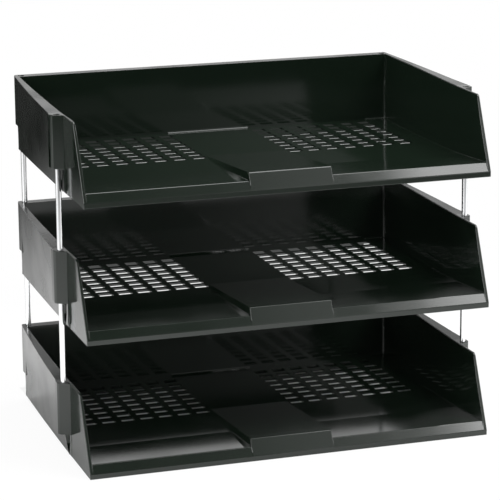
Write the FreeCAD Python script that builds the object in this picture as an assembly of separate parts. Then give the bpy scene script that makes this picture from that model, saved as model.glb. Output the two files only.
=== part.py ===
import FreeCAD, Part
import math
import os

# Letter tray stack: three identical moulded trays, two levels of four steel riser rods between them.
# Millimetres, +Z up. The open front of the trays faces -Y and X is centred. A tray is drawn with Y = 0
# at its front edge and Z = 0 at its foot, then moved into the stack's frame.

# ---------------------------------------------------------------- driving dimensions
TRAY_COUNT = 3
PITCH = 118.0                   # tray to tray
WALL = 2.0                      # skins, web and ribs
FLOOR = 1.8                     # floor plate

# outside of one tray, seen from above
DEPTH = 250.0                   # at the ledge
BACK_LEAN = 0.8                 # the back comes in by this at the table
CHEEK_HALF = 183.8              # half width over the plain front cheeks, at the top
CHEEK_LEAN = 0.5
REAR_TAPER = 1.9                # the rear corners stand in from the cheeks by this, at the ledge
REAR_LEAN = 1.6
PANEL_BOW_TOP = 0.95            # the side panels bow outwards by this between block and corner
PANEL_BOW_FOOT = 0.4
CORNER = 2.0                    # rear corner radius
CORNER_BELOW = 5.5              # where the corner is rounded off under the rear socket block

# inside
REAR_LEDGE = 10.2               # width of the ledge along the back
SIDE_LEDGE = 3.2                # and of the side ledges at their rear ends
CHEEK_TOP_THICK = 2.2
CHEEK_FOOT_THICK = 2.6
INNER_LEAN = 0.7                # the inner rear corner comes in by this at the floor
INNER_BOW_TOP = 1.85            # the inner wall bows outwards at the top
INNER_BOW_FOOT = -4.2           # and inwards at the floor
INNER_CORNER = 2.0
COVE = 2.0                      # radius at the foot of the back wall, beside the perforations

# side view
HEIGHT = 72.4                   # ledge at the back
CHEEK_TOP_Y = 29.2              # front top corner of the cheeks
CHEEK_TOP_Z = 68.3
CHEEK_RADIUS = 4.0
SKIRT_RISE_Y = 8.0              # the side skirts rise from here
SKIRT_REAR_Z = 3.9              # to this at the rear corners
HEEL_END = 21.9                 # the back wall stands on the table up to this far from the rear corners
RIM_Z = 4.7                     # plain front rim
CREST_Y = 4.7                   # top of the front bevel
CREST_Z = 12.05
DISH = 52.0                     # behind the crest the floor falls over this length
DISH_FALL = 1.65                # by this
FLOOR_FALL = 0.2                # and by this from there to the back wall

# finger tab, and the ramp behind it that fades into the floor
TAB_HALF = 37.4
TAB_TOP_Y = 6.7
TAB_TOP_Z = 19.05
TAB_LAND = 0.8
RAMP_LENGTH = 118.0
RAMP_FLARE_FRONT = 0.4          # how much wider the ramp is at its foot, front and back
RAMP_FLARE_REAR = 5.6
RAMP_NARROW = 1.0               # how much narrower its top is at the back

# perforations: two mirrored fields
SLOT_COLUMNS = 7
SLOT_ROWS = 8
SLOT_X0 = 45.4                  # first column, from the centre line
SLOT_PITCH_X = 17.7
SLOT_LENGTH = 12.4
SLOT_WIDTH = 9.3
SLOT_PITCH_Y = 14.5
SLOT_TO_BACK = 11.1             # last opening to the inner back wall

# riser rods and their sockets
ROD_RADIUS = 2.5
RUNNING_CLEARANCE = 0.08        # radial, rod in socket
PASSAGE_CLEARANCE = 0.3         # radial, rod past the skirt
WEB_Z = 45.6                    # the rods butt on a web from both sides
FRONT_ROD_Y = 67.6
FRONT_ROD_OUT = 4.0             # from the cheek to the rod's axis
REAR_ROD_IN = 5.7               # from the panel to the rod's axis
REAR_ROD_BACK = 5.4             # from the back to the rod's axis
NOSE_START = 7.0                # the front block's facet starts this far in front of the rod
NOSE_FACET = (-2.2, 4.6)        # end of the facet from the rod's axis (along Y, along X)
NOSE_CHAMFER = (0.6, 5.9)       # end of the chamfer beside it
FRONT_BLOCK_BACK = 8.0          # from the rod's axis to the back of the block
FRONT_BLOCK_SLANT = 3.0
FRONT_BLOCK_Z = 21.6            # foot of the front blocks
REAR_BLOCK_Z = 26.7
REAR_BLOCK_SIDE = 5.2           # from the rod's axis to the block's inner face
CHANNEL_END = 50.0              # the hollow side wall closes this far from the back

# what follows from them
REAR_HALF = CHEEK_HALF - REAR_TAPER
HEEL_HALF = REAR_HALF - HEEL_END
ROD_LENGTH = PITCH - WALL
SOCKET_RADIUS = ROD_RADIUS + RUNNING_CLEARANCE
PASSAGE_RADIUS = ROD_RADIUS + PASSAGE_CLEARANCE
FRONT_ROD = (CHEEK_HALF + FRONT_ROD_OUT, FRONT_ROD_Y)
REAR_ROD = (REAR_HALF - REAR_ROD_IN, DEPTH - REAR_ROD_BACK)
NOSE_Y = FRONT_ROD_Y - NOSE_START
FACET_END = (FRONT_ROD[0] + NOSE_FACET[1], FRONT_ROD_Y + NOSE_FACET[0])
CHAMFER_END = (FRONT_ROD[0] + NOSE_CHAMFER[1], FRONT_ROD_Y + NOSE_CHAMFER[0])
BLOCK_BACK_Y = FRONT_ROD_Y + FRONT_BLOCK_BACK
INNER_BACK_Y = DEPTH - REAR_LEDGE
RAMP_END_Y = TAB_TOP_Y + TAB_LAND + RAMP_LENGTH
DISH_Y = CREST_Y + DISH
DISH_Z = CREST_Z - DISH_FALL
FAR = 2 * CHEEK_HALF            # cutters reach this far past the tray

V = FreeCAD.Vector


# ---------------------------------------------------------------- helpers
def polygon(points):
    pts = [V(*p) for p in points]
    return Part.makePolygon(pts + [pts[0]])


def prism(points, direction):
    """Closed polygon, extruded."""
    return Part.Face(polygon(points)).extrude(V(*direction))


def across(profile):
    """Closed (y, z) profile, extruded across the whole tray."""
    return prism([(-FAR, y, z) for y, z in profile], (2 * FAR, 0, 0))


def box(x0, x1, y0, y1, z0, z1):
    return Part.makeBox(x1 - x0, y1 - y0, z1 - z0, V(x0, y0, z0))


def both_sides(shape):
    """The shape and its mirror image across X = 0."""
    return [shape, shape.mirror(V(0, 0, 0), V(1, 0, 0))]


def bowed(start, end, bow):
    """Arc from start to end in plan, whose middle stands out by bow."""
    middle = (start + end) / 2.0 + V(math.copysign(bow, start.x * bow) if bow else 0, 0, 0)
    return Part.Arc(start, middle, end).toShape()


def quarter(centre, radius, first):
    """Quarter circle in plan that starts at the angle first, in degrees."""
    points = []
    for angle in (first, first + 45, first + 90):
        a = math.radians(angle)
        points.append(centre + V(radius * math.cos(a), radius * math.sin(a), 0))
    return Part.Arc(*points).toShape()


def plan(front, rear_half, back_y, corner, bow, z):
    """Closed outline at height z: straight front points (x, y), bowed sides, rounded rear corners, back."""
    side = [V(x, y, z) for x, y in front]
    top = V(rear_half - corner, back_y - corner, z)
    edges = [Part.makeLine(V(-side[0].x, side[0].y, z), side[0])]
    edges += [Part.makeLine(a, b) for a, b in zip(side, side[1:])]
    edges.append(bowed(side[-1], top + V(corner, 0, 0), bow))
    edges.append(quarter(top, corner, 0))
    flip = [V(-p.x, p.y, z) for p in side]
    left = V(-top.x, top.y, z)
    edges.append(Part.makeLine(top + V(0, corner, 0), left + V(0, corner, 0)))
    edges.append(quarter(left, corner, 90))
    edges.append(bowed(left - V(corner, 0, 0), flip[-1], bow))
    edges += [Part.makeLine(b, a) for a, b in reversed(list(zip(flip, flip[1:])))]
    return Part.Wire(edges)


def between(low_wire, high_wire):
    return Part.makeLoft([low_wire, high_wire], True, True)


def floor_z(y):
    """Top of the floor plate, which falls behind the crest and then runs almost level to the back."""
    if y < DISH_Y:
        return CREST_Z - DISH_FALL * (y - CREST_Y) / DISH
    return DISH_Z - FLOOR_FALL * (y - DISH_Y) / (INNER_BACK_Y - DISH_Y)


def ledge_z(y):
    """Top of the ledges: level to the back of the front blocks, then rising to the back wall."""
    rise = (HEIGHT - CHEEK_TOP_Z) / (DEPTH - BLOCK_BACK_Y)
    return CHEEK_TOP_Z + rise * max(y - BLOCK_BACK_Y, 0.0)


# ---------------------------------------------------------------- outside and inside of the walls
def outside(inset):
    """Everything inside the outer faces, moved in by inset: flared panels, nose facets and back."""
    foot = CHEEK_HALF - CHEEK_LEAN - inset
    top_front = [(CHEEK_HALF, inset), (CHEEK_HALF, NOSE_Y), FACET_END, CHAMFER_END]
    foot_front = [(foot, inset)] + [(foot, y) for _, y in top_front[1:]]
    top_front = [(x - inset, y) for x, y in top_front]
    low = plan(foot_front, REAR_HALF - REAR_LEAN - inset, DEPTH - BACK_LEAN - inset, CORNER, PANEL_BOW_FOOT, 0.0)
    high = plan(top_front, REAR_HALF - inset, DEPTH - inset, CORNER, PANEL_BOW_TOP, HEIGHT)
    return between(low, high)


def inside(outset):
    """The paper space between the inner faces, moved out by outset, open at the front and the top."""
    top_front = CHEEK_HALF - CHEEK_TOP_THICK + outset
    foot_front = CHEEK_HALF - CHEEK_LEAN - CHEEK_FOOT_THICK + outset
    rear = REAR_HALF - SIDE_LEDGE + outset
    low_z, back = floor_z(INNER_BACK_Y) - FLOOR, INNER_BACK_Y + outset
    low = plan([(foot_front, -FAR), (foot_front, CREST_Y)], rear - INNER_LEAN, back - INNER_LEAN, INNER_CORNER,
               INNER_BOW_FOOT, low_z)
    high = plan([(top_front, -FAR), (top_front, CREST_Y)], rear, back, INNER_CORNER, INNER_BOW_TOP, HEIGHT + WALL)
    return between(low, high)


def side_view():
    """What the tray may fill, seen from the side: rim, slanted cheek, ledges, rising skirt and heel."""
    slant = V(0, CHEEK_TOP_Y, CHEEK_TOP_Z - RIM_Z).normalize()
    level = V(0, 1, 0)
    half_turn = math.acos(-slant.dot(level)) / 2.0
    reach = CHEEK_RADIUS / math.tan(half_turn)
    corner = V(0, CHEEK_TOP_Y, CHEEK_TOP_Z)
    crown = corner + (level - slant).normalize() * (CHEEK_RADIUS / math.sin(half_turn) - CHEEK_RADIUS)
    start, stop = corner - slant * reach, corner + level * reach
    corners = [(BLOCK_BACK_Y, CHEEK_TOP_Z), (DEPTH, HEIGHT), (DEPTH + WALL, HEIGHT), (DEPTH + WALL, SKIRT_REAR_Z),
               (DEPTH, SKIRT_REAR_Z), (SKIRT_RISE_Y, 0), (0, 0), (0, RIM_Z)]
    run = [stop] + [V(0, y, z) for y, z in corners] + [start]
    edges = [Part.makeLine(a, b) for a, b in zip(run, run[1:])] + [Part.Arc(start, crown, stop).toShape()]
    face = Part.Face(Part.Wire(edges))
    face.translate(V(-FAR, 0, 0))
    heel = box(-HEEL_HALF, HEEL_HALF, DEPTH / 2, DEPTH + WALL, 0, HEIGHT / 2)
    return face.extrude(V(2 * FAR, 0, 0)).fuse(heel)


def paper_space():
    """The inside above the rim, the front bevel and the sloping floor."""
    return inside(0.0).common(across([(-FAR, RIM_Z), (0, RIM_Z), (CREST_Y, CREST_Z), (DISH_Y, DISH_Z),
                                      (FAR, floor_z(FAR)), (FAR, FAR), (-FAR, FAR)]))


def under_space():
    """The hollow under the floor, inside the skirt and the front rim."""
    ceiling = across([(WALL, -FAR), (WALL, RIM_Z - WALL / 2), (CREST_Y + WALL, CREST_Z - FLOOR),
                      (DISH_Y, DISH_Z - FLOOR), (FAR, floor_z(FAR) - FLOOR), (FAR, -FAR)])
    half = CHEEK_HALF - CHEEK_LEAN - WALL
    foot = plan([(half, WALL), (half, CHAMFER_END[1])], REAR_HALF - REAR_LEAN - WALL, DEPTH - BACK_LEAN - WALL,
                CORNER_BELOW, PANEL_BOW_FOOT, -HEIGHT)
    return Part.Face(foot).extrude(V(0, 0, 2 * HEIGHT)).common(ceiling)


def wall_hollows():
    """The hollow between the inner and the outer skin, open below, along the sides and the back."""
    ring = outside(WALL).cut(inside(WALL))
    under_ledge = across([(0, -WALL), (0, CHEEK_TOP_Z - WALL), (BLOCK_BACK_Y, CHEEK_TOP_Z - WALL),
                          (DEPTH, HEIGHT - WALL), (DEPTH, -WALL)])
    side = box(-FAR, FAR, BLOCK_BACK_Y + FRONT_BLOCK_SLANT, DEPTH - CHANNEL_END, -WALL, HEIGHT)
    rear_x = REAR_ROD[0] - REAR_BLOCK_SIDE - WALL
    rear = box(-rear_x, rear_x, DEPTH / 2, DEPTH, -WALL, HEIGHT)
    return ring.common(under_ledge).common(side.fuse(rear))


def corner_hollow():
    """The end of the rear hollow under the socket block, where the rod below passes up, one side."""
    x, y = REAR_ROD
    r = PASSAGE_RADIUS
    chamfer = r * (2 - math.sqrt(2))
    start = x - REAR_BLOCK_SIDE - WALL - FLOOR
    front = min(INNER_BACK_Y + WALL, y - r)
    return prism([(start, front, -WALL), (x + r, front, -WALL), (x + r, y + r - chamfer, -WALL),
                  (x + r - chamfer, y + r, -WALL), (start, y + r, -WALL)], (0, 0, REAR_BLOCK_Z + WALL))


# ---------------------------------------------------------------- floor, tab and sockets
def tab_and_ramp():
    """Finger tab on the front rim and the ramp that fades into the floor, with the pocket under it."""
    land_y = TAB_TOP_Y + TAB_LAND
    profile = [(0, RIM_Z), (TAB_TOP_Y, TAB_TOP_Z), (land_y, TAB_TOP_Z), (land_y, RIM_Z)]
    tab = prism([(-TAB_HALF, y, z) for y, z in profile], (2 * TAB_HALF, 0, 0))
    base = floor_z(RAMP_END_Y) - FLOOR / 2
    slope = (TAB_TOP_Z - floor_z(RAMP_END_Y)) / RAMP_LENGTH

    def section(y, inset):
        share = (y - land_y) / RAMP_LENGTH
        top = TAB_HALF - RAMP_NARROW * share - inset
        foot = TAB_HALF + RAMP_FLARE_FRONT + (RAMP_FLARE_REAR - RAMP_FLARE_FRONT) * share - inset
        z = TAB_TOP_Z - slope * (y - land_y) - inset
        return polygon([(-foot, y, base - inset), (-top, y, z), (top, y, z), (foot, y, base - inset)])
    ramp = between(section(land_y, 0.0), section(RAMP_END_Y, 0.0))
    pocket = between(section(land_y + WALL, WALL), section(land_y + RAMP_LENGTH / 2, WALL))
    return tab.fuse(ramp), pocket


def wall_foot_coves():
    """Coves between floor and back wall, wherever no perforations stand in front of it."""
    first = SLOT_X0 - SLOT_LENGTH / 2
    last = SLOT_X0 + SLOT_PITCH_X * (SLOT_COLUMNS - 1) + SLOT_LENGTH / 2
    y, z = INNER_BACK_Y - INNER_LEAN, floor_z(INNER_BACK_Y)
    coves = []
    for x0, x1 in ((-first, first), (last, REAR_HALF - SIDE_LEDGE), (SIDE_LEDGE - REAR_HALF, -last)):
        strip = box(x0, x1, y - COVE, y + WALL / 2, z - FLOOR / 2, z + COVE)
        hollow = Part.makeCylinder(COVE, x1 - x0, V(x0, y - COVE, z + COVE), V(1, 0, 0))
        coves.append(strip.cut(hollow))
    return coves


def slots():
    last_y = INNER_BACK_Y - INNER_LEAN - SLOT_TO_BACK - SLOT_WIDTH / 2
    cutters = []
    for column in range(SLOT_COLUMNS):
        x = SLOT_X0 + SLOT_PITCH_X * column
        for row in range(SLOT_ROWS):
            y = last_y - SLOT_PITCH_Y * row
            cutters += both_sides(box(x - SLOT_LENGTH / 2, x + SLOT_LENGTH / 2, y - SLOT_WIDTH / 2,
                                      y + SLOT_WIDTH / 2, floor_z(y) - 2 * FLOOR, floor_z(y) + FLOOR))
    return Part.makeCompound(cutters)


def socket_blocks():
    """Solid blocks that carry the sockets: front and rear, one side."""
    skin, slant_y = CHEEK_HALF - WALL, BLOCK_BACK_Y + FRONT_BLOCK_SLANT
    outline = [(skin, NOSE_Y), (CHEEK_HALF, NOSE_Y), FACET_END, CHAMFER_END, (CHAMFER_END[0], BLOCK_BACK_Y),
               (CHEEK_HALF, slant_y), (skin, slant_y)]
    front = prism([(x, y, FRONT_BLOCK_Z) for x, y in outline], (0, 0, HEIGHT - FRONT_BLOCK_Z))
    x, y = REAR_ROD[0] - REAR_BLOCK_SIDE, INNER_BACK_Y - INNER_CORNER - WALL
    outer = box(x, REAR_HALF, y, DEPTH, REAR_BLOCK_Z, HEIGHT)
    corner = [e for e in outer.Edges if e.BoundBox.XMin > x + WALL and e.BoundBox.YMin > y + WALL
              and e.BoundBox.ZLength > WALL]
    return [front, outer.makeFillet(CORNER, corner)]


def block_reliefs():
    """What is cut back under the blocks, one side: room for the front rod, and the rounded rear corner."""
    clear = FRONT_ROD_Y + PASSAGE_RADIUS + WALL
    outline = [(CHEEK_HALF, NOSE_Y - WALL), (CHEEK_HALF, clear), (CHEEK_HALF + FRONT_BLOCK_SLANT, BLOCK_BACK_Y),
               (FAR, BLOCK_BACK_Y), (FAR, NOSE_Y - WALL)]
    front = prism([(x, y, -WALL) for x, y in outline], (0, 0, WALL + FRONT_BLOCK_Z))
    r, x, y = CORNER_BELOW, REAR_HALF - REAR_LEAN - CORNER_BELOW, DEPTH - BACK_LEAN - CORNER_BELOW
    outer = box(x, FAR, y, DEPTH + WALL, -WALL, REAR_BLOCK_Z)
    kept = Part.makeCylinder(r, WALL + REAR_BLOCK_Z, V(x, y, -WALL))
    return [front, outer.cut(kept)]


def sockets(centre, foot_z):
    """The sockets from below and from above, on either side of the web."""
    x, y = centre
    below = Part.makeCylinder(SOCKET_RADIUS, WEB_Z - foot_z + WALL, V(x, y, foot_z - WALL))
    above = Part.makeCylinder(SOCKET_RADIUS, HEIGHT - WEB_Z, V(x, y, WEB_Z + WALL))
    return [below, above]


def mirrored(shapes):
    return [side for shape in shapes for side in both_sides(shape)]


def make_tray():
    fits = side_view()
    space = paper_space()
    ramp, pocket = tab_and_ramp()
    body = outside(0.0).common(fits).cut(space).fuse([ramp] + wall_foot_coves())
    for hollow in (under_space(), wall_hollows(), pocket):
        body = body.cut(hollow)
    body = body.cut(mirrored(block_reliefs()))
    blocks = [block.common(fits).cut(space) for block in mirrored(socket_blocks())]
    body = body.fuse(blocks)
    bores = sockets(FRONT_ROD, FRONT_BLOCK_Z) + sockets(REAR_ROD, REAR_BLOCK_Z) + [corner_hollow()]
    body = body.cut(mirrored(bores))
    return body.cut(slots()).removeSplitter()


# ---------------------------------------------------------------- placing and export
def placed(shape, x, y, z):
    """A copy in the stack's frame, whose origin is on the table under the middle of the stack."""
    copy = shape.copy()
    copy.translate(V(x, y - DEPTH / 2, z))
    return copy


def main():
    os.makedirs("parts", exist_ok=True)
    tray = make_tray()
    rod = Part.makeCylinder(ROD_RADIUS, ROD_LENGTH)
    nodes = {}
    for level, name in zip(range(TRAY_COUNT), ("bottom_tray", "middle_tray", "top_tray")):
        nodes[name] = placed(tray, 0, 0, PITCH * level)
    for level, level_name in zip(range(TRAY_COUNT - 1), ("lower", "upper")):
        for end_name, (x, y) in (("front", FRONT_ROD), ("rear", REAR_ROD)):
            for side_name, side in (("left", -1), ("right", 1)):
                name = "%s_riser_%s_%s" % (level_name, end_name, side_name)
                nodes[name] = placed(rod, side * x, y, PITCH * level + WEB_Z + WALL)
    for name, shape in nodes.items():
        shape.exportStep("parts/%s.step" % name)
        print(name, "solids", len(shape.Solids), "valid", shape.isValid(), "volume %.0f" % shape.Volume)


main()
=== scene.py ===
import math
import bmesh
import bpy
from mathutils import Matrix, Quaternion, Vector


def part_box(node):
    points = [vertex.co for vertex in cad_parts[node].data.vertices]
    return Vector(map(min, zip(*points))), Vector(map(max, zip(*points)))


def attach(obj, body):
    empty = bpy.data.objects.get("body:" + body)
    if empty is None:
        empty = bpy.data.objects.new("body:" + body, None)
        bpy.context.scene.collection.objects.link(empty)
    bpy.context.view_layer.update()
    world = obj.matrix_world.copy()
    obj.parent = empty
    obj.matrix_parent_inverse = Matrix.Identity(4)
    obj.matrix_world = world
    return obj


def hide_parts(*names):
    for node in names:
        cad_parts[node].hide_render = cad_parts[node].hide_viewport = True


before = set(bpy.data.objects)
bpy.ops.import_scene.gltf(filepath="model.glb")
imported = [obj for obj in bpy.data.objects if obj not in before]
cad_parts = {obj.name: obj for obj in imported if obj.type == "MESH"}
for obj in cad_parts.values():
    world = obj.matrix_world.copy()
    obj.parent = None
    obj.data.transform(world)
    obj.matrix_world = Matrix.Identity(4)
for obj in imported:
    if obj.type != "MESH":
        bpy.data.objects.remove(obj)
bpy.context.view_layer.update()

MM = 0.001
TRAYS = (("bottom_tray", "base"), ("middle_tray", "middle"), ("top_tray", "top"))
RISER_LEVELS = (("lower", "lower_risers"), ("upper", "upper_risers"))

# Joining the facets of a CAD mesh again, in millimetres and degrees.
FACET_GAP = 0.002               # corners closer than this are one
TRIMMED_GAP = 0.04              # and this once the front bevel is trimmed
FLAT = 0.6                      # faces that meet within this angle are one

# Places in a tray, in millimetres: x from its middle, y from the middle of its depth, z from its foot.
FRONT_TO_MIDDLE = 125           # from the front of a tray to the middle of its depth
BEVEL_TRIM = ((0, 4.7), (2.366, 8.4), (2.366, 9), (-1, 9), (-1, 4.7))   # y from the front, and z
BEVEL_TRIM_ENDS = (37.4, 180.7)                                         # x, on each side of the tab
LEDGE_HEIGHT = 60               # faces that look up above this are the ledges
PANEL_FRONT = -50               # faces that look out to the side behind this are the outer panels
TAB_BEFORE = -116               # edges in front of this, within this half width and above the crest
TAB_HALF = 48                   # of the floor are the label tab's
CREST = 12.5
SLOTS_BELOW = 15                # edges below this, behind this place and within this half width are
SLOTS_BEHIND = -15              # the slots', which the mould leaves crisp
SLOTS_HALF = 165

# Rounding and shading of the moulding.
EDGE_ROUND = 0.8                # millimetres from an edge of the label tab at which its rounding starts
PLAIN_EDGE = 0.6                # share of it on the other edges
ROUND_SEGMENTS = 2
ROUNDED_SHARE = 0.8             # of an edge, the most that the rounding beside it may use up
SHARP_EDGE = 22                 # degrees between two faces from which their edge is rounded
FLOOR_FOLD = 1.2                # degrees between two parts of the floor from which they stay flat
FLOOR_UP = 0.97                 # how far up the normal of a floor face points, from 0 to 1,
LEDGE_UP = 0.95                 # and that of a ledge,
PANEL_OUT = 0.9                 # and how far out to the side that of an outer panel does

# Riser rods, in millimetres.
ROD_CHAMFER = 0.4
ROD_SIDES = 32
ROD_END_UP = 0.3                # the ends and chamfers, whose normals point up more than this, shade flat

# Materials. Widths and heights are in millimetres.
NOISE_SPAN = (0.3, 0.7)         # most values of a noise lie in here
PLASTIC_IOR = 1.59
FLOW_WIDTH, FLOW_HEIGHT, FLOW_STRENGTH = 45, 0.06, 0.05
GRAIN_STRENGTH = 0.5
HAZE_SPREAD = 0.15              # roughness varies by this share along the flow waves
# name, roughness, width and height of the grain, and the two tints
POLISHED = ("polished_black_polystyrene", 0.1, 0.6, 0.0008, ("#101912", "#141d16"))
SATIN = ("satin_black_polystyrene", 0.24, 0.5, 0.01, ("#121612", "#161a16"))
CHROME = "#e6e7e8"
CHROME_HAZE = (0.06, 0.11)
LINE_WIDTH, LINE_HEIGHT, LINE_STRENGTH = 0.4, 0.01, 0.1
LINE_STRETCH = (1, 1, 0.01)     # the drawn lines run along the rod

# Camera and table, in millimetres.
CAMERA_PLACE = (-682.8, -2062.4, 690.7)
CAMERA_TURN = (-18.387, 13.80, -0.45)       # azimuth, elevation and roll in degrees
CAMERA_LENS = 178.19
SENSOR = 36.0
TABLE_HALF_WIDTH = 2600
TABLE_FRONT = -3200
TABLE_BACK = 1300
UNDER_STACK = (0, 21), (178, 139), 1        # centre, half sizes and soft edge of the table under the trays
PAINTED_FOOT_SHADOW = (0, 128), (174, 9), 6          # and of the shadow painted as a dark line behind the rear feet
PAINTED_POOL_MIDDLE = -130                          # y of the middle of the pool of light painted into the table's colour
PAINTED_POOL_SCALE = (0.4, 0.8, 0)                  # one over its half sizes in metres

# Smooth steps: from this value, to this value, level at the first, level at the second.
PAINTED_POOL_RIM = (0.86, 1.09, 0.95, 0.06)         # painted pool of light: the table's colour by distance from its middle
PAINTED_SHADE_BACK = (0.0, 1.2, 1.0, 0.03)           # painted shade towards the back: the table's colour by y in metres
# painted shade towards the far front: the table's colour by y in metres
PAINTED_SHADE_FRONT = (-1.6, -0.1, 0.03, 1.0)
PLAINNESS = (0.35, 0.6, 0.93, 1.0)          # how plain the white is, by the same distance
HORIZON = (-0.03, 0.0, 0.035, 1.0)          # by the height that a mirror ray looks to
BACKDROP = (0.27, 0.35, 1.0, 0.03)          # the same, towards the back
CEILING = (0.55, 0.75, 1.0, 0.55)           # the same, towards the front
LAMP_SIDE = (0.26, 0.36, 0.22, 1.0)         # by how far to the right it looks
FRONT_TO_BACK = (-0.2, 0.2)                 # by how far to the back it looks
WORLD_LIGHT = 0.5

# Lamps: name, place and target in metres, width and length in metres, watts, degrees turned.
LAMPS = (("soft_box_front_right", (2.5, -2.06, 3.28), (0, 0, 0.15), (2.0, 2.0), 87, -20),
         ("soft_box_left", (-2.2, -0.9, 1.3), (0, 0, 0.15), (1.4, 1.4), 30, 0),
         ("soft_box_top", (0.45, 0.1, 1.8), (0.45, 0.1, 0), (1.5, 1.3), 30, 0))


# ---------------------------------------------------------------- small tools
def linear(hex_colour):
    """sRGB hex to the linear colour that shaders take."""
    channels = [int(hex_colour[i:i + 2], 16) / 255 for i in (1, 3, 5)]
    return [c / 12.92 if c <= 0.04045 else ((c + 0.055) / 1.055) ** 2.4 for c in channels] + [1.0]


def add(tree, kind, links=None, values=None, **settings):
    """Adds a node: links and values are by input name or number, settings are the node's own."""
    node = tree.nodes.new(kind)
    for name, value in settings.items():
        setattr(node, name, value)
    for key, value in (values or {}).items():
        node.inputs[key].default_value = value
    for key, socket in (links or {}).items():
        tree.links.new(socket, node.inputs[key])
    return node


def new_material(name):
    material = bpy.data.materials.new(name)
    material.use_nodes = True
    material.node_tree.nodes.clear()
    return material, material.node_tree


def new_object(name, data):
    item = bpy.data.objects.new(name, data)
    bpy.context.scene.collection.objects.link(item)
    return item


def shows_background(tree):
    """1 for camera, mirror and glass rays, which see the plain white surround."""
    path = add(tree, "ShaderNodeLightPath")
    both = add(tree, "ShaderNodeMath", {0: path.outputs["Is Camera Ray"], 1: path.outputs["Is Glossy Ray"]},
               operation="MAXIMUM")
    return add(tree, "ShaderNodeMath", {0: both.outputs[0], 1: path.outputs["Is Transmission Ray"]},
               operation="MAXIMUM").outputs[0]


def ramp(tree, value, low, high, at_low=0.0, at_high=1.0):
    """A smooth step from at_low to at_high as value goes from low to high."""
    return add(tree, "ShaderNodeMapRange", {"Value": value},
               {"From Min": low, "From Max": high, "To Min": at_low, "To Max": at_high},
               interpolation_type="SMOOTHSTEP").outputs[0]


# ---------------------------------------------------------------- materials
def polystyrene(name, roughness, grain_width, grain_height, tints):
    """Injection moulded black polystyrene. It mirrors the surround sharply or softly, in slow flow waves,
    over a fine grain and a black with a trace of green."""
    material, tree = new_material(name)
    place = add(tree, "ShaderNodeTexCoord").outputs["Object"]
    waves = add(tree, "ShaderNodeTexNoise", {"Vector": place},
                {"Scale": 1 / (FLOW_WIDTH * MM), "Detail": 1.0})
    grain = add(tree, "ShaderNodeTexNoise", {"Vector": place},
                {"Scale": 1 / (grain_width * MM), "Detail": 3.0})
    flow = add(tree, "ShaderNodeBump", {"Height": waves.outputs["Fac"]},
               {"Strength": FLOW_STRENGTH, "Distance": FLOW_HEIGHT * MM})
    rough = add(tree, "ShaderNodeBump", {"Height": grain.outputs["Fac"], "Normal": flow.outputs["Normal"]},
                {"Strength": GRAIN_STRENGTH, "Distance": grain_height * MM})
    haze = ramp(tree, waves.outputs["Fac"], *NOISE_SPAN,
                roughness * (1 - HAZE_SPREAD), roughness * (1 + HAZE_SPREAD))
    tint = add(tree, "ShaderNodeMix", {"Factor": grain.outputs["Fac"]}, data_type="RGBA")
    for socket, colour in zip((6, 7), tints):   # A and B of a colour mix
        tint.inputs[socket].default_value = linear(colour)
    shader = add(tree, "ShaderNodeBsdfPrincipled",
                 {"Normal": rough.outputs["Normal"], "Roughness": haze, "Base Color": tint.outputs[2]},
                 {"IOR": PLASTIC_IOR})
    add(tree, "ShaderNodeOutputMaterial", {"Surface": shader.outputs["BSDF"]})
    return material


def chrome_plate():
    """Bright chromium on drawn steel wire: a white mirror with faint lines along the rod."""
    material, tree = new_material("chrome_plated_steel")
    place = add(tree, "ShaderNodeTexCoord").outputs["Object"]
    drawn = add(tree, "ShaderNodeMapping", {"Vector": place}, {"Scale": LINE_STRETCH})
    lines = add(tree, "ShaderNodeTexNoise", {"Vector": drawn.outputs[0]},
                {"Scale": 1 / (LINE_WIDTH * MM), "Detail": 2.0})
    bump = add(tree, "ShaderNodeBump", {"Height": lines.outputs["Fac"]},
               {"Strength": LINE_STRENGTH, "Distance": LINE_HEIGHT * MM})
    haze = ramp(tree, lines.outputs["Fac"], *NOISE_SPAN, *CHROME_HAZE)
    shader = add(tree, "ShaderNodeBsdfPrincipled", {"Normal": bump.outputs["Normal"], "Roughness": haze},
                 {"Base Color": linear(CHROME), "Metallic": 1.0})
    add(tree, "ShaderNodeOutputMaterial", {"Surface": shader.outputs["BSDF"]})
    return material


def off_patch(tree, split, centre, half, soft):
    """0 on a rectangle of the table, 1 off it."""
    sides = []
    for axis, middle, size in zip("XY", centre, half):
        offset = add(tree, "ShaderNodeMath", {0: split.outputs[axis]}, {1: middle * MM}, operation="SUBTRACT")
        distance = add(tree, "ShaderNodeMath", {0: offset.outputs[0]}, operation="ABSOLUTE")
        sides.append(ramp(tree, distance.outputs[0], (size - soft) * MM, size * MM))
    return add(tree, "ShaderNodeMath", {0: sides[0], 1: sides[1]}, operation="MAXIMUM").outputs[0]


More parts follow.
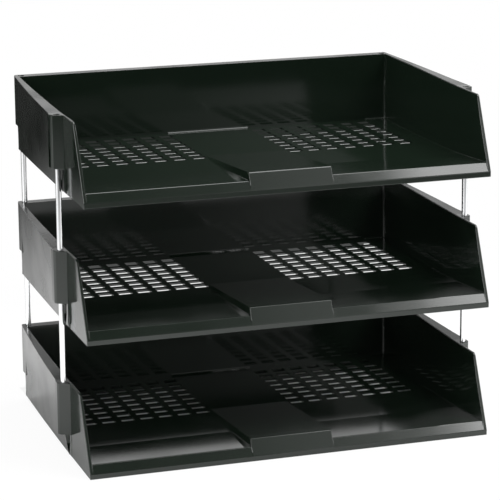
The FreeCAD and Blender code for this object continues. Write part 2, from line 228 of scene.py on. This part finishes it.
def white_table():
    """Matt white laminate, with painted light in its colour: a pool of light in front, painted shade towards
    the back and the far front, and a painted shadow behind the rear feet. So the trays mirror something
    bright in front, and dark further off. To the camera it is plain white with a trace of shadow, except
    under the stack."""
    material, tree = new_material("white_laminate")
    place = add(tree, "ShaderNodeTexCoord").outputs["Object"]
    split = add(tree, "ShaderNodeSeparateXYZ", {0: place})
    shift = add(tree, "ShaderNodeMapping", {"Vector": place},
                {"Location": (0, -PAINTED_POOL_MIDDLE * MM * PAINTED_POOL_SCALE[1], 0), "Scale": PAINTED_POOL_SCALE})
    away = add(tree, "ShaderNodeVectorMath", {0: shift.outputs[0]}, operation="LENGTH").outputs["Value"]
    # The diffuse colour holds painted light: a pool of light, shade towards the back and the far front, and a
    # shadow behind the rear feet.
    level = ramp(tree, away, *PAINTED_POOL_RIM)
    for factor in (ramp(tree, split.outputs["Y"], *PAINTED_SHADE_BACK), ramp(tree, split.outputs["Y"], *PAINTED_SHADE_FRONT),
                   off_patch(tree, split, *PAINTED_FOOT_SHADOW)):
        level = add(tree, "ShaderNodeMath", {0: level, 1: factor}, operation="MULTIPLY").outputs[0]
    lit = add(tree, "ShaderNodeBsdfDiffuse", {"Color": level})
    plain = add(tree, "ShaderNodeEmission", values={"Color": linear("#ffffff"), "Strength": 1.0})
    outside = off_patch(tree, split, *UNDER_STACK)
    path = add(tree, "ShaderNodeLightPath")
    seen = add(tree, "ShaderNodeMath",
               {0: path.outputs["Is Camera Ray"], 1: path.outputs["Is Transmission Ray"]},
               operation="MAXIMUM")
    share = add(tree, "ShaderNodeMath", {0: seen.outputs[0], 1: outside}, operation="MULTIPLY")
    plainness = ramp(tree, away, *PLAINNESS)
    most = add(tree, "ShaderNodeMath", {0: share.outputs[0], 1: plainness}, operation="MULTIPLY")
    mix = add(tree, "ShaderNodeMixShader", {"Fac": most.outputs[0], 1: lit.outputs[0], 2: plain.outputs[0]})
    add(tree, "ShaderNodeOutputMaterial", {"Surface": mix.outputs[0]})
    return material


# ---------------------------------------------------------------- trays
def join_facets(bm, gap):
    """Welds corners closer than the gap, then makes one face of those that lie flat."""
    bmesh.ops.remove_doubles(bm, verts=bm.verts, dist=gap * MM)
    bmesh.ops.dissolve_limit(bm, angle_limit=math.radians(FLAT), verts=bm.verts, edges=bm.edges)


def merged_copy(node):
    """The node's mesh with its facets joined, in a bmesh."""
    bm = bmesh.new()
    bm.from_mesh(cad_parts[node].data)
    join_facets(bm, FACET_GAP)
    return bm


def trimmer(foot):
    """Two prisms that take the front bevel of a tray down to the rim in one plane, beside the tab."""
    bm = bmesh.new()
    for side in (-1, 1):
        ends = [[bm.verts.new((side * x * MM, (y - FRONT_TO_MIDDLE) * MM, foot + z * MM))
                 for y, z in BEVEL_TRIM] for x in BEVEL_TRIM_ENDS]
        bm.faces.new(ends[0])
        bm.faces.new(reversed(ends[1]))
        for i in range(len(BEVEL_TRIM)):
            bm.faces.new([ends[0][i - 1], ends[1][i - 1], ends[1][i], ends[0][i]])
    bmesh.ops.recalc_face_normals(bm, faces=bm.faces)
    mesh = bpy.data.meshes.new("bevel_trimmer")
    bm.to_mesh(mesh)
    bm.free()
    return new_object("bevel_trimmer", mesh)


def trimmed_copy(node, foot):
    """A merged copy of the node's mesh with a plain front bevel."""
    bm = merged_copy(node)
    mesh = bpy.data.meshes.new(node + "_copy")
    bm.to_mesh(mesh)
    bm.free()
    work, tool = new_object(node + "_work", mesh), trimmer(foot)
    trim = work.modifiers.new("trim", "BOOLEAN")
    trim.operation, trim.solver, trim.object = "DIFFERENCE", "EXACT", tool
    done = work.evaluated_get(bpy.context.evaluated_depsgraph_get())
    bm = bmesh.new()
    bm.from_mesh(bpy.data.meshes.new_from_object(done))
    for item in (work, tool):
        bpy.data.objects.remove(item)
    join_facets(bm, TRIMMED_GAP)
    return bm


def has_no_room(edge):
    """Whether rounding the edge would run past a neighbour at one of its ends."""
    for vert in edge.verts:
        along = edge.other_vert(vert).co - vert.co
        for other in vert.link_edges:
            across = other.other_vert(vert).co - vert.co
            angle = along.angle(across)
            shared = min(along.length, across.length) * ROUNDED_SHARE
            if other != edge and angle < math.pi / 2 and EDGE_ROUND * MM > shared * math.tan(angle):
                return True
    return False


def rounding(edge, foot):
    """The share of EDGE_ROUND that a sharp edge gets."""
    place = (edge.verts[0].co + edge.verts[1].co) / 2
    height, half_width = place.z - foot, abs(place.x)
    if height < SLOTS_BELOW * MM and place.y > SLOTS_BEHIND * MM and half_width < SLOTS_HALF * MM:
        return 0.0
    if has_no_room(edge):
        return 0.0
    if height > CREST * MM and place.y < TAB_BEFORE * MM and half_width < TAB_HALF * MM:
        return 1.0
    return PLAIN_EDGE


def is_satin(face, foot):
    """Whether the face is one of a tray's ledges or outer panels."""
    middle = face.calc_center_median()
    if face.normal.z > LEDGE_UP and middle.z - foot > LEDGE_HEIGHT * MM:
        return True
    looks_out = face.normal.x * middle.x > 0 and abs(face.normal.x) > PANEL_OUT
    return looks_out and middle.y > PANEL_FRONT * MM


def moulded_tray(node, body, gloss, satin):
    """The tray's moulding, with small radii on its edges, and satin ledges and outer panels."""
    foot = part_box(node)[0][2]
    bm = trimmed_copy(node, foot)
    weight = bm.edges.layers.float.new("bevel_weight_edge")
    for edge in bm.edges:
        if len(edge.link_faces) != 2:
            continue
        angle = edge.calc_face_angle(0)
        if angle > math.radians(SHARP_EDGE):
            edge[weight] = rounding(edge, foot)
            edge.smooth = False
        elif angle > math.radians(FLOOR_FOLD) and all(face.normal.z > FLOOR_UP for face in edge.link_faces):
            edge.smooth = False
    for face in bm.faces:
        face.smooth = True
        face.material_index = int(is_satin(face, foot))
    mesh = bpy.data.meshes.new(node + "_moulding")
    bm.to_mesh(mesh)
    bm.free()
    mesh.materials.append(gloss)
    mesh.materials.append(satin)
    piece = new_object(node + "_moulding", mesh)
    bevel = piece.modifiers.new("edges", "BEVEL")
    bevel.limit_method = "WEIGHT"
    bevel.width = EDGE_ROUND * MM
    bevel.segments = ROUND_SEGMENTS
    bevel.use_clamp_overlap = False
    shading = piece.modifiers.new("shading", "WEIGHTED_NORMAL")
    shading.keep_sharp = True
    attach(piece, body)
    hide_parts(node)


# ---------------------------------------------------------------- riser rods
def rod_tree(material):
    """Geometry Nodes: one turned rod with chamfered ends, stood at every point of the input."""
    tree = bpy.data.node_groups.new("riser_rods", "GeometryNodeTree")
    tree.interface.new_socket("Points", in_out="INPUT", socket_type="NodeSocketGeometry")
    for name in ("Radius", "Length", "Chamfer"):
        tree.interface.new_socket(name, in_out="INPUT", socket_type="NodeSocketFloat")
    tree.interface.new_socket("Sides", in_out="INPUT", socket_type="NodeSocketInt")
    tree.interface.new_socket("Rods", in_out="OUTPUT", socket_type="NodeSocketGeometry")
    given = add(tree, "NodeGroupInput").outputs
    waist = add(tree, "ShaderNodeMath", {0: given["Length"], 1: given["Chamfer"]}, operation="SUBTRACT")
    narrow = add(tree, "ShaderNodeMath", {0: given["Radius"], 1: given["Chamfer"]}, operation="SUBTRACT")
    heights = (None, given["Chamfer"], waist.outputs[0], given["Length"])
    radii = (narrow.outputs[0], given["Radius"], given["Radius"], narrow.outputs[0])
    line = add(tree, "GeometryNodeMeshLine", values={"Count": len(heights), "Offset": (0, 0, MM)})
    index = add(tree, "GeometryNodeInputIndex").outputs[0]
    place = add(tree, "GeometryNodeIndexSwitch", {"Index": index}, data_type="FLOAT")
    width = add(tree, "GeometryNodeIndexSwitch", {"Index": index}, data_type="FLOAT")
    for switch, sockets in ((place, heights), (width, radii)):
        while len(switch.index_switch_items) < len(sockets):
            switch.index_switch_items.new()
        for number, socket in enumerate(sockets):
            if socket:
                tree.links.new(socket, switch.inputs[number + 1])
    spot = add(tree, "ShaderNodeCombineXYZ", {"Z": place.outputs[0]})
    moved = add(tree, "GeometryNodeSetPosition", {"Geometry": line.outputs[0], "Position": spot.outputs[0]})
    path = add(tree, "GeometryNodeMeshToCurve", {"Mesh": moved.outputs[0]})
    ring = add(tree, "GeometryNodeCurvePrimitiveCircle", {"Resolution": given["Sides"]}, {"Radius": 1.0})
    swept = add(tree, "GeometryNodeCurveToMesh",
                {"Curve": path.outputs[0], "Profile Curve": ring.outputs[0], "Scale": width.outputs[0]},
                {"Fill Caps": True})
    stood = add(tree, "GeometryNodeInstanceOnPoints",
                {"Points": given["Points"], "Instance": swept.outputs[0]})
    real = add(tree, "GeometryNodeRealizeInstances", {0: stood.outputs[0]})
    finished = add(tree, "GeometryNodeSetMaterial", {"Geometry": real.outputs[0]}, {"Material": material})
    add(tree, "NodeGroupOutput", {0: finished.outputs[0]})
    return tree


def riser_level(level, body, tree):
    """The four rods of one level, on the feet of its CAD rods."""
    nodes = [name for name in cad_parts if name.startswith(level + "_riser")]
    boxes = [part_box(name) for name in nodes]
    mesh = bpy.data.meshes.new(level + "_riser_feet")
    feet = [((low[0] + high[0]) / 2, (low[1] + high[1]) / 2, low[2]) for low, high in boxes]
    mesh.from_pydata(feet, [], [])
    maker = new_object(level + "_riser_maker", mesh)
    low, high = boxes[0]
    sizes = {"Radius": (high[0] - low[0]) / 2, "Length": high[2] - low[2], "Chamfer": ROD_CHAMFER * MM,
             "Sides": ROD_SIDES}
    modifier = maker.modifiers.new("rods", "NODES")
    modifier.node_group = tree
    for item in tree.interface.items_tree:
        if item.name in sizes:
            modifier[item.identifier] = sizes[item.name]
    made = maker.evaluated_get(bpy.context.evaluated_depsgraph_get())
    rods = new_object(level + "_risers_chromed", bpy.data.meshes.new_from_object(made))
    bpy.data.objects.remove(maker)
    for face in rods.data.polygons:
        face.use_smooth = abs(face.normal.z) < ROD_END_UP
    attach(rods, body)
    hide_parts(*nodes)


# ---------------------------------------------------------------- stage
def make_camera():
    """Long lens from the front, left of centre and above."""
    azimuth, elevation, roll = (math.radians(v) for v in CAMERA_TURN)
    back = Vector((math.sin(azimuth) * math.cos(elevation), -math.cos(azimuth) * math.cos(elevation),
                   math.sin(elevation)))
    right = Vector((math.cos(azimuth), math.sin(azimuth), 0))
    up = back.cross(right)
    turned_right = right * math.cos(roll) + up * math.sin(roll)
    turned_up = up * math.cos(roll) - right * math.sin(roll)
    data = bpy.data.cameras.new("camera")
    data.lens, data.sensor_width = CAMERA_LENS, SENSOR
    camera = new_object("camera", data)
    turn = Matrix((turned_right, turned_up, back)).transposed().to_4x4()
    camera.matrix_world = Matrix.Translation(Vector(CAMERA_PLACE) * MM) @ turn
    bpy.context.scene.camera = camera


def make_table(material):
    """One flat face at the height of the stack's feet."""
    corners = [(-TABLE_HALF_WIDTH, TABLE_FRONT), (TABLE_HALF_WIDTH, TABLE_FRONT),
               (TABLE_HALF_WIDTH, TABLE_BACK), (-TABLE_HALF_WIDTH, TABLE_BACK)]
    mesh = bpy.data.meshes.new("table")
    mesh.from_pydata([(x * MM, y * MM, 0) for x, y in corners], [], [(0, 1, 2, 3)])
    table = new_object("table", mesh)
    mesh.materials.append(material)


def make_world():
    """White to the camera. Mirrors see a low white backdrop behind, and in front a ceiling that is dim on the
    left and towards the top. The light on the object is plain and even."""
    world = bpy.data.worlds.new("studio")
    bpy.context.scene.world = world
    world.use_nodes = True
    tree = world.node_tree
    tree.nodes.clear()
    direction = add(tree, "ShaderNodeTexCoord").outputs["Generated"]
    split = add(tree, "ShaderNodeSeparateXYZ", {0: direction})
    above = ramp(tree, split.outputs["Z"], *HORIZON)
    behind = ramp(tree, split.outputs["Z"], *BACKDROP)
    to_lamp = ramp(tree, split.outputs["X"], *LAMP_SIDE)
    to_ceiling = ramp(tree, split.outputs["Z"], *CEILING)
    front = add(tree, "ShaderNodeMath", {0: to_lamp, 1: to_ceiling}, operation="MULTIPLY")
    side = ramp(tree, split.outputs["Y"], *FRONT_TO_BACK)
    level = add(tree, "ShaderNodeMix", {"Factor": side, 2: front.outputs[0], 3: behind})
    bright = add(tree, "ShaderNodeMath", {0: above, 1: level.outputs[0]}, operation="MULTIPLY")
    path = add(tree, "ShaderNodeLightPath")
    strength = add(tree, "ShaderNodeMix", {"Factor": path.outputs["Is Camera Ray"], 2: bright.outputs[0]},
                   {3: 1.0})
    seen = add(tree, "ShaderNodeBackground", {"Strength": strength.outputs[0]}, {"Color": linear("#ffffff")})
    light = add(tree, "ShaderNodeBackground", values={"Color": linear("#ffffff"), "Strength": WORLD_LIGHT})
    mix = add(tree, "ShaderNodeMixShader",
              {"Fac": shows_background(tree), 1: light.outputs[0], 2: seen.outputs[0]})
    add(tree, "ShaderNodeOutputWorld", {"Surface": mix.outputs[0]})


def soft_box(name, place, target, size, power, roll):
    """A rectangular area lamp, aimed at its target and turned about its beam."""
    data = bpy.data.lights.new(name, "AREA")
    data.shape, data.size, data.size_y, data.energy = "RECTANGLE", size[0], size[1], power
    lamp = new_object(name, data)
    lamp.location = place
    aim = (Vector(target) - Vector(place)).to_track_quat("-Z", "Y")
    lamp.rotation_euler = (aim @ Quaternion((0, 0, 1), math.radians(roll))).to_euler()


def make_stage():
    """The camera, the table, the surround and the lamps."""
    bpy.context.scene.view_settings.view_transform = "Standard"
    make_camera()
    make_table(white_table())
    make_world()
    for lamp in LAMPS:
        soft_box(*lamp)


# ---------------------------------------------------------------- making
make_stage()
gloss = polystyrene(*POLISHED)
satin = polystyrene(*SATIN)
for node, body in TRAYS:
    moulded_tray(node, body, gloss, satin)
rods = rod_tree(chrome_plate())
for level, body in RISER_LEVELS:
    riser_level(level, body, rods)
